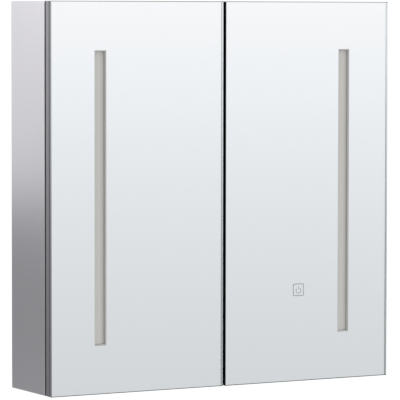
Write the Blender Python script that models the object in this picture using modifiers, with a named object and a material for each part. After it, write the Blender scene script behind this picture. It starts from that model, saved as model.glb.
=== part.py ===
"""Two-door illuminated mirror cabinet for a bathroom wall.

The origin is the centre of the back face, on the wall plane. +X is to the viewer's right, +Y goes
into the wall and +Z is up. All values are in metres.

Each door and its hinges are laid out in a side frame of their own: u runs inwards from the
cabinet's outer side face, v runs backwards from the closed door's front, and z is the height.
"""

import math

import bmesh
import bpy
from mathutils import Vector

# Whole cabinet
WIDTH = 0.600
HEIGHT = 0.600
CASE_DEPTH = 0.117
DOOR_GAP = 0.004
BOARD = 0.015
BACK_T = 0.005
CLEAR = 0.0003
EDGE_ROUND = 0.0006
CUT_LEAD = 0.002

# Door layers, from the front backwards
MIRROR_T = 0.005
SEAM_T = 0.003
DOOR_BOARD_T = 0.011
INNER_MIRROR_T = 0.003
BOARD_ROUND = 0.0008
DOOR_T = MIRROR_T + SEAM_T + DOOR_BOARD_T
CENTRE_GAP = 0.0048
DOOR_W = (WIDTH - CENTRE_GAP) / 2
SEAM_INSET = 0.004
MIRROR_ARRIS_W = 0.0008
MIRROR_ARRIS_T = 0.0008
INNER_MIRROR_U = (0.046, DOOR_W - 0.018)
INNER_MIRROR_HALF_H = 0.280

# Light strip in each mirror
STRIP_U = 0.083
STRIP_W = 0.020
STRIP_H = 0.450
CHANNEL_WALL = 0.0012
CHANNEL_FRONT_V = 0.0008
CHANNEL_BACK_V = 0.0168
DIFFUSER_V = (0.0040, 0.0060)
LED_BOARD_W = 0.012
LED_BOARD_T = 0.0016
DIFFUSER_ROUND = 0.0003

# Touch sensor behind the right mirror
TOUCH_X = 0.1335
TOUCH_Z = -0.1553
TOUCH_SIDE = 0.026
TOUCH_BACK_V = 0.0115

# Single-pivot concealed hinge
HINGE_Z = 0.205
PIVOT_U = 0.0075
PIVOT_V = 0.0120
PIN_R = 0.00125
PIN_HOLE_R = 0.0014
PIN_HALF_L = 0.0082
KNUCKLE_R = 0.0024
CUP_U = 0.0205
CUP_R = 0.0172
CUP_WALL = 0.0008
CUP_BORE_R = 0.0175
CUP_FRONT_V = MIRROR_T + SEAM_T + CLEAR
CUP_BACK_V = DOOR_T + CLEAR
FLANGE_T = 0.001
FLANGE_R = 0.0188
EAR_Z = 0.024
EAR_HALF_W = 0.0055
LUG_U = (0.0051, 0.0101)
LUG_BACK_V = 0.0146
LUG_Z = (0.0045, 0.0087)
ARM_T = 0.0026
ARM_HALF_Z = 0.004
ARM_SIDE_Z = 0.007
ARM_U = 0.0214
ARM_END_V = 0.080
ARM_CHANNEL_V = 0.0265
ARM_CROSSING_V = 0.0110
ARM_BEND_R = 0.0022
ARM_CHEEK_T = 0.0013
ARM_CHEEK_INSET = 0.004
PLATE_T = 0.002
PLATE_V = 0.060
PLATE_WING_L = 0.048
PLATE_WING_W = 0.013
PLATE_WING_CORNER = 0.0055
RAIL_V = (0.034, 0.077)
RAIL_HALF_Z = 0.0049
PLATE_SCREW_Z = 0.016
PLATE_SCREW_R = 0.0026

# Bumpers near the doors' free corners
BUMPER_R = 0.004
BUMPER_INSET = 0.010
BUMPER_Z = 0.2925

# Shelves
SHELF_T = 0.005
SHELF_Z = 0.095
SHELF_HALF_W = 0.283
SHELF_Y = (-0.104, -0.009)
SHELF_ROUND = 0.0008
PIN_Y = (-0.085, -0.028)
PIN_PITCH = 0.032
PIN_SHANK_R = 0.0023
PIN_SHANK_L = 0.008
PIN_SOCKET_R = 0.0026
PIN_SOCKET_DEPTH = 0.0095
PEG_R = 0.0025
PEG_L = 0.008
PEG_CHAMFER = 0.0004
COLLAR_R = 0.0042
COLLAR_T = 0.0012

# Hangers on the back panel
HANGER_X = 0.240
HANGER_Z = 0.247
HANGER_CUT_HALF = 0.018
HANGER_CUT_CORNER = 0.004
HANGER_PLATE_HALF = 0.028
HANGER_PLATE_CORNER = 0.005
HANGER_PLATE_T = 0.002
KEYHOLE_R = 0.006
KEYHOLE_DROP = 0.006
SLOT_R = 0.003
SLOT_TOP = 0.010
HANGER_COVER_HALF = 0.0315
HANGER_COVER_WALL = 0.0015
HANGER_COVER_DEPTH = 0.016
HANGER_COVER_CORNER = 0.006
HANGER_HOLLOW_CORNER = 0.005

# Electrics under the top panel
ELECTRICS_HALF_W = 0.150
ELECTRICS_Y = (-0.057, -0.0053)
ELECTRICS_FLOOR_Z = 0.249
ELECTRICS_WALL = 0.0015
DRIVER_X = (-0.130, 0.040)
DRIVER_Y = (-0.050, -0.014)
DRIVER_Z = (0.2545, 0.2785)
TERMINAL_X = (0.055, 0.095)
TERMINAL_Y = (-0.044, -0.026)
TERMINAL_Z = (0.2545, 0.2705)
GLAND_X = 0.120
GLAND_Z = 0.267
GLAND_R = 0.0065
GLAND_COLLAR_R = 0.0095
GLAND_BORE_R = 0.0038
GLAND_INNER_END = 0.011
GLAND_REAR_END = -0.0045
GLAND_NUT_CHAMFER = 0.003
GLAND_COLLAR_EDGE = 0.0005
LEAD_R = 0.0015
LEAD_BEND_R = 0.007
LEAD_START_X = 0.130
LEAD_Y = -0.030
LEAD_Z = 0.2785
LEAD_X = 0.2805
LEAD_END_Y = -0.108
LEAD_END_Z = 0.252

# Derived places
HALF_W = WIDTH / 2
HALF_H = HEIGHT / 2
DOOR_FRONT_Y = -(CASE_DEPTH + DOOR_GAP + DOOR_T)
INNER_X = HALF_W - BOARD
INNER_Z = HALF_H - BOARD
SIDES = {"left": -1, "right": 1}
HINGE_HEIGHTS = (("lower", -HINGE_Z), ("upper", HINGE_Z))


def clear_scene():
    for obj in list(bpy.data.objects):
        bpy.data.objects.remove(obj, do_unlink=True)


def collection(name):
    made = bpy.data.collections.new(name)
    bpy.context.scene.collection.children.link(made)
    return made


clear_scene()
PARTS = collection("mirror_cabinet")
CUTTERS = collection("cutters")


def material(name, colour, roughness, metallic=0.0, alpha=1.0):
    made = bpy.data.materials.new(name)
    made.use_nodes = True
    shader = made.node_tree.nodes["Principled BSDF"]
    shader.inputs["Base Color"].default_value = (*colour, 1.0)
    shader.inputs["Roughness"].default_value = roughness
    shader.inputs["Metallic"].default_value = metallic
    shader.inputs["Alpha"].default_value = alpha
    made.diffuse_color = (*colour, alpha)
    return made


FACING = material("satin_aluminium_facing", (0.62, 0.62, 0.65), 0.35, 0.8)
WHITE_BOARD = material("pale_board", (0.74, 0.74, 0.75), 0.45)
DOOR_BOARD = material("door_board", (0.36, 0.36, 0.38), 0.5)
SILVERED = material("silvered_glass", (0.90, 0.92, 0.93), 0.03, 1.0)
CLEAR_GLASS = material("clear_glass", (0.80, 0.90, 0.88), 0.02, 0.0, 0.35)
EXTRUSION = material("extruded_aluminium", (0.66, 0.66, 0.66), 0.35, 1.0)
FROSTED = material("frosted_diffuser", (0.72, 0.72, 0.69), 0.6)
CIRCUIT = material("circuit_board", (0.80, 0.80, 0.76), 0.5)
FOAM = material("black_foam", (0.03, 0.03, 0.035), 0.8)
NICKEL = material("nickel_plate", (0.72, 0.71, 0.68), 0.22, 1.0)
STEEL = material("zinc_steel", (0.60, 0.61, 0.62), 0.35, 1.0)
PLASTIC = material("white_plastic", (0.80, 0.80, 0.79), 0.4)
BLACK_PLASTIC = material("black_plastic", (0.04, 0.04, 0.045), 0.5)
SILICONE = material("clear_silicone", (0.75, 0.75, 0.74), 0.5)


def add_object(name, mesh, origin=(0, 0, 0), paint=None, helper=False):
    """Links a new object. A helper is a shape that cuts or joins another, so it isn't a part."""
    obj = bpy.data.objects.new(name, mesh)
    obj.location = origin
    if helper:
        CUTTERS.objects.link(obj)
        obj.hide_render = True
        obj.display_type = "WIRE"
        return obj
    PARTS.objects.link(obj)
    obj.data.materials.append(paint)
    return obj


def mesh_from(name, form):
    mesh = bpy.data.meshes.new(name)
    form.to_mesh(mesh)
    form.free()
    return mesh


def smooth(obj, angle=35):
    obj.data.shade_smooth()
    obj.data.set_sharp_from_angle(angle=math.radians(angle))


def round_edges(obj, width, segments=2):
    bevel = obj.modifiers.new("rounded_edges", "BEVEL")
    bevel.width = width
    bevel.segments = segments
    bevel.limit_method = "ANGLE"


def block(name, low, high, paint=None, rounding=EDGE_ROUND, helper=False):
    """A box between two opposite corners, given in any order, with its origin at its centre."""
    ends = [sorted(pair) for pair in zip(low, high)]
    centre = Vector([(a + b) / 2 for a, b in ends])
    form = bmesh.new()
    bmesh.ops.create_cube(form, size=1.0)
    bmesh.ops.scale(form, vec=[b - a for a, b in ends], verts=form.verts)
    obj = add_object(name, mesh_from(name, form), centre, paint, helper)
    if rounding and not helper:
        round_edges(obj, rounding)
    return obj


def plate(name, centre, size, corner, thin_axis, paint=None, helper=False):
    """A box whose four edges along thin_axis (0, 1 or 2) are rounded to the radius corner."""
    form = bmesh.new()
    bmesh.ops.create_cube(form, size=1.0)
    bmesh.ops.scale(form, vec=size, verts=form.verts)
    along = [e for e in form.edges
             if abs((e.verts[0].co - e.verts[1].co)[thin_axis]) > size[thin_axis] / 2]
    bmesh.ops.bevel(form, geom=along, offset=corner, segments=5, affect="EDGES", profile=0.5)
    return add_object(name, mesh_from(name, form), centre, paint, helper)


def turn_to(direction):
    """The rotation that takes local +Z to direction."""
    return Vector((0, 0, 1)).rotation_difference(Vector(direction)).to_euler()


def turned(name, profile, origin, direction, paint=None, steps=24):
    """Turns (radius, height) points about direction. They run down the outer side, top to bottom."""
    mesh = bpy.data.meshes.new(name)
    points = [(r, 0, h) for r, h in profile]
    closed = profile[0][0] > 0
    edges = [(i, i + 1) for i in range(len(points) - 1)]
    if closed:
        edges.append((len(points) - 1, 0))
    mesh.from_pydata(points, edges, [])
    obj = add_object(name, mesh, origin, paint)
    obj.rotation_euler = turn_to(direction)
    screw = obj.modifiers.new("turned", "SCREW")
    screw.steps = steps
    screw.render_steps = steps
    screw.use_merge_vertices = True
    screw.merge_threshold = 0.00001
    return obj


def rod(name, start, direction, radius, length, paint=None, sides=16, helper=False):
    """A straight cylinder from start along direction."""
    form = bmesh.new()
    bmesh.ops.create_cone(form, cap_ends=True, segments=sides, radius1=radius, radius2=radius, depth=length)
    middle = Vector(start) + Vector(direction) * length / 2
    obj = add_object(name, mesh_from(name, form), middle, paint, helper)
    obj.rotation_euler = turn_to(direction)
    return obj


def boolean(obj, other, operation):
    modifier = obj.modifiers.new(f"{operation.lower()}_{other.name}"[:60], "BOOLEAN")
    modifier.operation = operation
    modifier.object = other
    modifier.solver = "EXACT"


def cut(obj, *others):
    for other in others:
        boolean(obj, other, "DIFFERENCE")


def join(obj, *others):
    for other in others:
        boolean(obj, other, "UNION")


def flat_outline(name, points, half_thickness, origin, paint):
    """A closed outline in X and Y, thickened along Z, as a mesh that can take Booleans."""
    curve = bpy.data.curves.new(name, "CURVE")
    curve.dimensions = "2D"
    curve.fill_mode = "BOTH"
    curve.extrude = half_thickness
    spline = curve.splines.new("POLY")
    spline.points.add(len(points) - 1)
    for slot, (x, y) in zip(spline.points, points):
        slot.co = (x, y, 0, 1)
    spline.use_cyclic_u = True
    guide = bpy.data.objects.new(name + "_outline", curve)
    CUTTERS.objects.link(guide)
    mesh = solid_mesh(guide, name)
    return add_object(name, mesh, origin, paint)


def solid_mesh(guide, name):
    """The closed mesh of a curve object, which is then removed."""
    bpy.context.view_layer.update()
    graph = bpy.context.evaluated_depsgraph_get()
    mesh = bpy.data.meshes.new_from_object(guide.evaluated_get(graph))
    mesh.name = name
    form = bmesh.new()
    form.from_mesh(mesh)
    bmesh.ops.remove_doubles(form, verts=form.verts, dist=0.000001)
    bmesh.ops.recalc_face_normals(form, faces=form.faces)
    form.to_mesh(mesh)
    form.free()
    bpy.data.objects.remove(guide, do_unlink=True)
    return mesh


def rounded_path(corners, radius, steps=6):
    """The points of a polyline in a plane or in space whose corners are replaced by arcs."""
    points = [Vector(corners[0])]
    for before, corner, after in zip(corners, corners[1:], corners[2:]):
        corner = Vector(corner)
        back = (Vector(before) - corner).normalized()
        ahead = (Vector(after) - corner).normalized()
        half = back.angle(ahead) / 2
        reach = radius / math.tan(half)
        centre = corner + (back + ahead).normalized() * radius / math.sin(half)
        first = (corner + back * reach - centre).normalized()
        last = (corner + ahead * reach - centre).normalized()
        points += [centre + first.slerp(last, i / steps) * radius for i in range(steps + 1)]
    return points + [Vector(corners[-1])]


def strip_outline(path, width):
    """The outline of a flat strip of the given width along a path in X and Y."""
    left, right = [], []
    for i, point in enumerate(path):
        ahead = path[min(i + 1, len(path) - 1)] - path[max(i - 1, 0)]
        normal = Vector((-ahead.y, ahead.x)).normalized() * width / 2
        left.append((point.x + normal.x, point.y + normal.y))
        right.append((point.x - normal.x, point.y - normal.y))
    return left + right[::-1]


class Side:
    """The left or right half of the cabinet, with the side frame described at the top."""

    def __init__(self, name):
        self.name = name
        self.sign = SIDES[name]
        self.inward = (-self.sign, 0, 0)
        self.pivot = self.at(PIVOT_U, PIVOT_V, 0)

    def at(self, u, v, z):
        return Vector((self.sign * (HALF_W - u), DOOR_FRONT_Y + v, z))

    def block(self, name, low, high, paint=None, rounding=EDGE_ROUND, helper=False):
        return block(name, self.at(*low), self.at(*high), paint, rounding, helper)

    def hang(self, *pieces):
        """Parents door pieces to the empty on the hinge axis."""
        for piece in pieces:
            piece.parent = self.hinge
            piece.location -= self.hinge.location

    def add_hinge_axis(self):
        self.hinge = bpy.data.objects.new(f"{self.name}_door_axis", None)
        self.hinge.location = self.pivot
        self.hinge.empty_display_size = 0.05
        PARTS.objects.link(self.hinge)


LEFT_AND_RIGHT = tuple(Side(name) for name in SIDES)


# Case

def case_panels():
    for side in LEFT_AND_RIGHT:
        outer = (side.sign * HALF_W, -CASE_DEPTH, -HALF_H)
        inner = (side.sign * INNER_X, 0, HALF_H)
        cut(block(f"side_panel_{side.name}", outer, inner, FACING), *pin_sockets(side))
    end = INNER_X - CLEAR
    block("top_panel", (-end, -CASE_DEPTH, INNER_Z), (end, 0, HALF_H), FACING)
    block("bottom_panel", (-end, -CASE_DEPTH, -HALF_H), (end, 0, -INNER_Z), FACING)


def pin_sockets(side):
    """Drilled rows for the shelf pins: three heights for each shelf, at the front and at the back."""
    sockets = []
    for shelf_z in (-SHELF_Z, SHELF_Z):
        for step in (-1, 0, 1):
            for y in PIN_Y:
                z = pin_height(shelf_z) + step * PIN_PITCH
                start = (side.sign * (INNER_X - CUT_LEAD), y, z)
                name = f"pin_socket_{side.name}_{len(sockets)}"
                outward = (side.sign, 0, 0)
                depth = PIN_SOCKET_DEPTH + CUT_LEAD
                sockets.append(rod(name, start, outward, PIN_SOCKET_R, depth, sides=12, helper=True))
    return sockets


def pin_height(shelf_z):
    return shelf_z - SHELF_T / 2 - CLEAR - PEG_R


def back_panel():
    inner_x, inner_z = INNER_X - CLEAR, INNER_Z - CLEAR
    panel = block("back_panel", (-inner_x, -BACK_T, -inner_z), (inner_x, 0, inner_z), WHITE_BOARD)
    for side in LEFT_AND_RIGHT:
        middle = (side.sign * HANGER_X, -BACK_T / 2, HANGER_Z)
        size = (2 * HANGER_CUT_HALF, 4 * BACK_T, 2 * HANGER_CUT_HALF)
        cut(panel, plate(f"hanger_cutout_{side.name}", middle, size, HANGER_CUT_CORNER, 1, helper=True))
    start = (GLAND_X, -2 * BACK_T, GLAND_Z)
    cut(panel, rod("gland_hole", start, (0, 1, 0), GLAND_R + CLEAR, 4 * BACK_T, sides=20, helper=True))


# Hangers

def hanger(side):
    """A keyhole plate on the inside of the back panel, and the plastic cap over it."""
    seat = Vector((side.sign * HANGER_X, -BACK_T - CLEAR, HANGER_Z))
    hanger_plate(side, seat)
    hanger_cover(side, seat)


def hanger_plate(side, seat):
    centre = seat - Vector((0, HANGER_PLATE_T / 2, 0))
    size = (2 * HANGER_PLATE_HALF, HANGER_PLATE_T, 2 * HANGER_PLATE_HALF)
    made = plate(f"hanger_plate_{side.name}", centre, size, HANGER_PLATE_CORNER, 1, STEEL)
    through = 4 * HANGER_PLATE_T
    start = centre - Vector((0, through / 2, KEYHOLE_DROP))
    entry = rod(f"keyhole_entry_{side.name}", start, (0, 1, 0), KEYHOLE_R, through, sides=20, helper=True)
    slot_middle = centre + Vector((0, 0, (SLOT_TOP - KEYHOLE_DROP) / 2))
    slot_size = (2 * SLOT_R, through, SLOT_TOP + KEYHOLE_DROP)
    slot = plate(f"keyhole_slot_{side.name}", slot_middle, slot_size, SLOT_R * 0.95, 1, helper=True)
    cut(made, entry, slot)


def hanger_cover(side, seat):
    half, wall = HANGER_COVER_HALF, HANGER_COVER_WALL
    centre = seat - Vector((0, HANGER_COVER_DEPTH / 2, 0))
    size = (2 * half, HANGER_COVER_DEPTH, 2 * half)
    cover = plate(f"hanger_cover_{side.name}", centre, size, HANGER_COVER_CORNER, 1, PLASTIC)
    hollow_size = (2 * (half - wall), HANGER_COVER_DEPTH, 2 * (half - wall))
    hollow_centre = centre + Vector((0, wall, 0))
    name = f"hanger_hollow_{side.name}"
    cut(cover, plate(name, hollow_centre, hollow_size, HANGER_HOLLOW_CORNER, 1, helper=True))


# Shelves

def shelves():
    for level, shelf_z in (("lower", -SHELF_Z), ("upper", SHELF_Z)):
        low = (-SHELF_HALF_W, SHELF_Y[0], shelf_z - SHELF_T / 2)
        high = (SHELF_HALF_W, SHELF_Y[1], shelf_z + SHELF_T / 2)
        block(f"glass_shelf_{level}", low, high, CLEAR_GLASS, SHELF_ROUND)
        for side in LEFT_AND_RIGHT:
            for depth, y in zip(("front", "rear"), PIN_Y):
                shelf_pin(f"shelf_pin_{level}_{side.name}_{depth}", side, y, pin_height(shelf_z))


def shelf_pin(name, side, y, z):
    """A turned pin: a shank in the side panel, a collar against its face and a peg under the shelf."""
    profile = (
        (0, COLLAR_T + PEG_L),
        (PEG_R - PEG_CHAMFER, COLLAR_T + PEG_L),
        (PEG_R, COLLAR_T + PEG_L - PEG_CHAMFER),
        (PEG_R, COLLAR_T),
        (COLLAR_R, COLLAR_T),
        (COLLAR_R, 0),
        (PIN_SHANK_R, 0),
        (PIN_SHANK_R, -PIN_SHANK_L),
        (0, -PIN_SHANK_L),
    )
    origin = (side.sign * (INNER_X - CLEAR), y, z)
    smooth(turned(name, profile, origin, side.inward, NICKEL, steps=12))


# Electrics

def electrics():
    """The cover is a tray that the top panel and the back panel close."""
    half, wall = ELECTRICS_HALF_W, ELECTRICS_WALL
    front_y, rear_y = ELECTRICS_Y
    top_z = INNER_Z - CLEAR
    low = (-half, front_y, ELECTRICS_FLOOR_Z)
    high = (half, rear_y, top_z)
    cover = block("electrics_cover", low, high, PLASTIC, 0.001)
    low = (-half + wall, front_y + wall, ELECTRICS_FLOOR_Z + wall)
    high = (half - wall, rear_y + wall, top_z + wall)
    hollow = block("electrics_hollow", low, high, helper=True)
    cut(cover, hollow)
    for side in LEFT_AND_RIGHT:
        start = (side.sign * (half - 3 * wall), LEAD_Y, LEAD_Z)
        name = f"lead_notch_{side.name}"
        cut(cover, rod(name, start, (side.sign, 0, 0), LEAD_R + 2 * CLEAR, 6 * wall, sides=12, helper=True))
    block("led_driver", *zip(DRIVER_X, DRIVER_Y, DRIVER_Z), PLASTIC, 0.0015)
    block("terminal_block", *zip(TERMINAL_X, TERMINAL_Y, TERMINAL_Z), BLACK_PLASTIC, 0.001)
    cable_gland()


def cable_gland():
    """A bushing through the back panel, with a collar on its inner face."""
    profile = (
        (GLAND_BORE_R, GLAND_INNER_END),
        (GLAND_R, GLAND_INNER_END),
        (GLAND_COLLAR_R, GLAND_INNER_END - GLAND_NUT_CHAMFER),
        (GLAND_COLLAR_R, CLEAR + GLAND_COLLAR_EDGE),
        (GLAND_COLLAR_R - GLAND_COLLAR_EDGE, CLEAR),
        (GLAND_R, CLEAR),
        (GLAND_R, GLAND_REAR_END),
        (GLAND_BORE_R, GLAND_REAR_END),
    )
    origin = (GLAND_X, -BACK_T, GLAND_Z)
    smooth(turned("cable_gland", profile, origin, (0, -1, 0), BLACK_PLASTIC, steps=20))


def led_lead(side):
    """The low-voltage lead from the driver to the door's upper hinge corner, clipped all the way."""
    corners = [
        (side.sign * LEAD_START_X, LEAD_Y, LEAD_Z),
        (side.sign * LEAD_X, LEAD_Y, LEAD_Z),
        (side.sign * LEAD_X, LEAD_END_Y, LEAD_Z),
        (side.sign * LEAD_X, LEAD_END_Y, LEAD_END_Z),
    ]
    path = rounded_path(corners, LEAD_BEND_R)
    curve = bpy.data.curves.new(f"led_lead_{side.name}", "CURVE")
    curve.dimensions = "3D"
    curve.bevel_depth = LEAD_R
    curve.bevel_resolution = 2
    curve.use_fill_caps = True
    spline = curve.splines.new("POLY")
    spline.points.add(len(path) - 1)
    for slot, point in zip(spline.points, path):
        slot.co = (*point, 1)
    add_object(curve.name, curve, paint=BLACK_PLASTIC)


# Doors

def door(side):
    side.add_hinge_axis()
    side.hang(door_board(side), *mirrors(side), *light_strip(side), *bumpers(side))
    for height, z in HINGE_HEIGHTS:
        side.hang(*hinge_cup(side, height, z))
        hinge_arm(side, height, z)
        hinge_plate(side, height, z)
    if side.name == "right":
        side.hang(touch_sensor(side))


def strip_window(side, name, front_v, back_v):
    low = (STRIP_U - STRIP_W / 2, front_v, -STRIP_H / 2)
    high = (STRIP_U + STRIP_W / 2, back_v, STRIP_H / 2)
    return side.block(name, low, high, helper=True)


def touch_pocket(side, name):
    half = TOUCH_SIDE / 2 + CLEAR
    u = HALF_W - TOUCH_X
    low = (u - half, MIRROR_T - CLEAR, TOUCH_Z - half)
    high = (u + half, TOUCH_BACK_V + CLEAR, TOUCH_Z + half)
    return side.block(name, low, high, helper=True)


def door_board(side):
    """The board that carries everything, milled for the light channel and bored for the cups."""
    low = (0, MIRROR_T + SEAM_T, -HALF_H)
    high = (DOOR_W, DOOR_T, HALF_H)
    board = side.block(f"door_board_{side.name}", low, high, DOOR_BOARD, BOARD_ROUND)
    cut(board, strip_window(side, f"channel_pocket_{side.name}", 0, CHANNEL_BACK_V + CLEAR))
    for height, z in HINGE_HEIGHTS:
        start = side.at(CUP_U, 0, z)
        name = f"cup_bore_{side.name}_{height}"
        cut(board, rod(name, start, (0, 1, 0), CUP_BORE_R, 2 * DOOR_T, sides=32, helper=True))
    if side.name == "right":
        cut(board, touch_pocket(side, "board_touch_pocket"))
    return board


def mirrors(side):
    """The front mirror with its ground front edge, the foam bed behind it and the inner mirror."""
    front = front_mirror(side)
    cut(front, strip_window(side, f"mirror_window_{side.name}", -MIRROR_T, 2 * MIRROR_T))
    bed_low = (SEAM_INSET, MIRROR_T + CLEAR, -HALF_H + SEAM_INSET)
    bed_high = (DOOR_W - SEAM_INSET, MIRROR_T + SEAM_T - CLEAR, HALF_H - SEAM_INSET)
    bed = side.block(f"mirror_bed_{side.name}", bed_low, bed_high, FOAM, rounding=0)
    cut(bed, strip_window(side, f"bed_window_{side.name}", 0, DOOR_T))
    if side.name == "right":
        cut(bed, touch_pocket(side, "bed_touch_pocket"))
    inner_low = (INNER_MIRROR_U[0], DOOR_T + CLEAR, -INNER_MIRROR_HALF_H)
    inner_high = (INNER_MIRROR_U[1], DOOR_T + CLEAR + INNER_MIRROR_T, INNER_MIRROR_HALF_H)
    inner = side.block(f"inner_mirror_{side.name}", inner_low, inner_high, SILVERED, 0.0005)
    return front, bed, inner


def front_mirror(side):
    """A slab whose front edge is ground to an arris all round."""
    form = bmesh.new()
    bmesh.ops.create_cube(form, size=1.0)
    bmesh.ops.scale(form, vec=(DOOR_W, MIRROR_T, HEIGHT), verts=form.verts)
    front = min(form.faces, key=lambda face: face.calc_center_median().y)
    bmesh.ops.inset_region(form, faces=[front], thickness=MIRROR_ARRIS_W)
    for vert in form.verts:
        if vert.co.y < 0 and vert not in front.verts:
            vert.co.y += MIRROR_ARRIS_T
    centre = side.at(DOOR_W / 2, MIRROR_T / 2, 0)
    return add_object(f"mirror_{side.name}", mesh_from("mirror", form), centre, SILVERED)


def light_strip(side):
    """A U-shaped extrusion with an LED board on its floor and a frosted diffuser in its mouth."""
    half_w = STRIP_W / 2 - CLEAR
    half_h = STRIP_H / 2 - CLEAR
    wall = CHANNEL_WALL
    low = (STRIP_U - half_w, CHANNEL_FRONT_V, -half_h)
    high = (STRIP_U + half_w, CHANNEL_BACK_V, half_h)
    channel = side.block(f"led_channel_{side.name}", low, high, EXTRUSION, rounding=0)
    inner_w, inner_h = half_w - wall, half_h - wall
    hollow_low = (STRIP_U - inner_w, CHANNEL_FRONT_V - wall, -inner_h)
    hollow_high = (STRIP_U + inner_w, CHANNEL_BACK_V - wall, inner_h)
    cut(channel, side.block(f"channel_hollow_{side.name}", hollow_low, hollow_high, helper=True))
    fit_w, fit_h = inner_w - CLEAR, inner_h - CLEAR
    low = (STRIP_U - fit_w, DIFFUSER_V[0], -fit_h)
    high = (STRIP_U + fit_w, DIFFUSER_V[1], fit_h)
    diffuser = side.block(f"led_diffuser_{side.name}", low, high, FROSTED, DIFFUSER_ROUND)
    floor_v = CHANNEL_BACK_V - wall - CLEAR
    low = (STRIP_U - LED_BOARD_W / 2, floor_v - LED_BOARD_T, -fit_h)
    high = (STRIP_U + LED_BOARD_W / 2, floor_v, fit_h)
    board = side.block(f"led_board_{side.name}", low, high, CIRCUIT, rounding=0)
    return channel, diffuser, board


def touch_sensor(side):
    half = TOUCH_SIDE / 2
    u = HALF_W - TOUCH_X
    low = (u - half, MIRROR_T + CLEAR, TOUCH_Z - half)
    high = (u + half, TOUCH_BACK_V, TOUCH_Z + half)
    return side.block("touch_sensor", low, high, BLACK_PLASTIC, 0.0008)


def bumpers(side):
    """Soft domed stops between the door board and the front edges of the top and bottom panels."""
    tall = DOOR_GAP - 2 * CLEAR
    profile = (
        (0, tall),
        (BUMPER_R * 0.55, tall * 0.93),
        (BUMPER_R * 0.90, tall * 0.60),
        (BUMPER_R, 0),
        (0, 0),
    )
    made = []
    for height, z in (("lower", -BUMPER_Z), ("upper", BUMPER_Z)):
        origin = side.at(DOOR_W - BUMPER_INSET, DOOR_T + CLEAR, z)
        bumper = turned(f"bumper_{side.name}_{height}", profile, origin, (0, 1, 0), SILICONE, steps=16)
        smooth(bumper, 60)
        made.append(bumper)
    return made


# Hinges

def hinge_cup(side, height, z):
    """The cup with its eared flange and two lugs, and the pin that the lugs hold."""
    tag = f"{side.name}_{height}"
    depth = CUP_BACK_V - CUP_FRONT_V
    inner_r = CUP_R - CUP_WALL
    profile = (
        (0, CUP_WALL),
        (inner_r, CUP_WALL),
        (inner_r, depth + FLANGE_T),
        (FLANGE_R, depth + FLANGE_T),
        (FLANGE_R, depth),
        (CUP_R, depth),
        (CUP_R, 0),
        (0, 0),
    )
    cup = turned(f"hinge_cup_{tag}", profile, side.at(CUP_U, CUP_FRONT_V, z), (0, 1, 0), NICKEL, steps=32)
    join(cup, cup_ears(side, tag, inner_r - CLEAR / 2, depth, z), *cup_lugs(side, tag, inner_r, depth, z))
    hole_half = PIN_HALF_L + CLEAR / 2
    hole_start = side.at(PIVOT_U, PIVOT_V, z - hole_half)
    cut(cup, rod(f"pin_hole_{tag}", hole_start, (0, 0, 1), PIN_HOLE_R, 2 * hole_half, helper=True))
    pin_start = side.at(PIVOT_U, PIVOT_V, z - PIN_HALF_L)
    pin = rod(f"hinge_pin_{tag}", pin_start, (0, 0, 1), PIN_R, 2 * PIN_HALF_L, STEEL)
    smooth(pin)
    return cup, pin


def cup_ears(side, tag, mouth_r, depth, z):
    """The flange's two screw ears, with the cup's mouth cut out between them."""
    centre = side.at(CUP_U, CUP_BACK_V + FLANGE_T / 2, z)
    size = (2 * EAR_HALF_W, FLANGE_T * 0.98, 2 * (EAR_Z + EAR_HALF_W))
    ears = plate(f"cup_ears_{tag}", centre, size, EAR_HALF_W * 0.98, 1, helper=True)
    start = side.at(CUP_U, CUP_FRONT_V + 2 * CUP_WALL, z)
    cut(ears, rod(f"cup_mouth_{tag}", start, (0, 1, 0), mouth_r, 2 * depth, sides=32, helper=True))
    return ears


def cup_lugs(side, tag, inner_r, depth, z):
    """Two cheeks inside the cup that hold the ends of the pin."""
    start = side.at(CUP_U, CUP_FRONT_V + CUP_WALL / 2, z)
    core = rod(f"cup_core_{tag}", start, (0, 1, 0), inner_r + CUP_WALL / 2, depth, sides=32, helper=True)
    lugs = []
    for sign in (-1, 1):
        low = (LUG_U[0], CUP_FRONT_V + CUP_WALL / 2, z + sign * LUG_Z[0])
        high = (LUG_U[1], LUG_BACK_V, z + sign * LUG_Z[1])
        lug = side.block(f"cup_lug_{tag}_{sign}", low, high, helper=True)
        boolean(lug, core, "INTERSECT")
        lugs.append(lug)
    return lugs


def hinge_arm(side, height, z):
    """A gooseneck strip from the pin, across the cup's floor, out of its mouth and along the side."""
    tag = f"{side.name}_{height}"
    corners_uv = (
        (PIVOT_U, PIVOT_V - CLEAR),
        (PIVOT_U + 0.004, ARM_CROSSING_V),
        (ARM_U - 0.0002, ARM_CROSSING_V),
        (ARM_U, PIVOT_V + 0.008),
        (ARM_U, ARM_CHANNEL_V + 0.004),
    )
    corners = [(side.at(u, v, 0) - side.pivot).xy for u, v in corners_uv]
    outline = strip_outline(rounded_path(corners, ARM_BEND_R), ARM_T)
    arm = flat_outline(f"hinge_arm_{tag}", outline, ARM_HALF_Z, side.pivot + Vector((0, 0, z)), NICKEL)
    half = ARM_HALF_Z * 0.99
    start = side.at(PIVOT_U, PIVOT_V, z - half)
    knuckle = rod(f"knuckle_{tag}", start, (0, 0, 1), KNUCKLE_R, 2 * half, sides=20, helper=True)
    join(arm, knuckle, *arm_channel(side, tag, z))
    hole_start = side.at(PIVOT_U, PIVOT_V, z - 2 * ARM_HALF_Z)
    cut(arm, rod(f"knuckle_hole_{tag}", hole_start, (0, 0, 1), PIN_HOLE_R, 4 * ARM_HALF_Z, helper=True))
    return arm


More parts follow.
